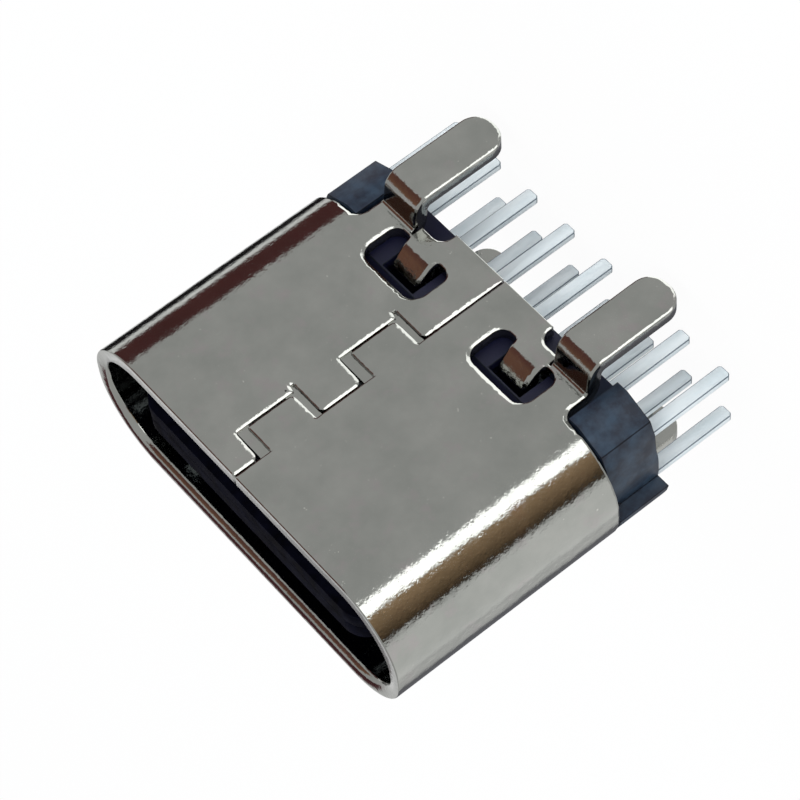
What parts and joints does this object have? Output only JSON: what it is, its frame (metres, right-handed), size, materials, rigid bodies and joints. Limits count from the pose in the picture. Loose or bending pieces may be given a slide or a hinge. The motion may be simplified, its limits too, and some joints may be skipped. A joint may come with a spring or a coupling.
{
  "type": "usb-c socket",
  "caption": "Upright USB-C socket for a circuit board: folded metal shell with stepped through-board legs, black moulded body and tongue, rows of straight tails.",
  "frame": {"origin": "middle of the moulded body's seating face, which lies on the board", "axes": "+Z out of the mouth, the way the plug leaves; +X along the mouth's long side; -Y towards the face with the shell's seam"},
  "size_m": [0.009, 0.0046, 0.0085],
  "materials": {
    "plated_shell": "nickel-plated sheet, satin, with polished bent edges",
    "black_moulding": "moulded, fine texture",
    "tongue_moulding": "moulded, slightly glossier",
    "plate_steel": "bright",
    "tinned_contact": "tinned, satin"
  },
  "bodies": {
    "root": {"shell": "plated_shell", "mid_plate": "plate_steel", "rear_housing": "black_moulding", "front_wafer": "tongue_moulding", "back_wafer": "tongue_moulding", "contact_a1": "tinned_contact", "contact_a4": "tinned_contact", "contact_a5": "tinned_contact", "contact_a6": "tinned_contact", "contact_a7": "tinned_contact", "contact_a8": "tinned_contact", "contact_a9": "tinned_contact", "contact_a12": "tinned_contact", "contact_b12": "tinned_contact", "contact_b9": "tinned_contact", "contact_b8": "tinned_contact", "contact_b7": "tinned_contact", "contact_b6": "tinned_contact", "contact_b5": "tinned_contact", "contact_b4": "tinned_contact", "contact_b1": "tinned_contact"}
  },
  "joints": []
}
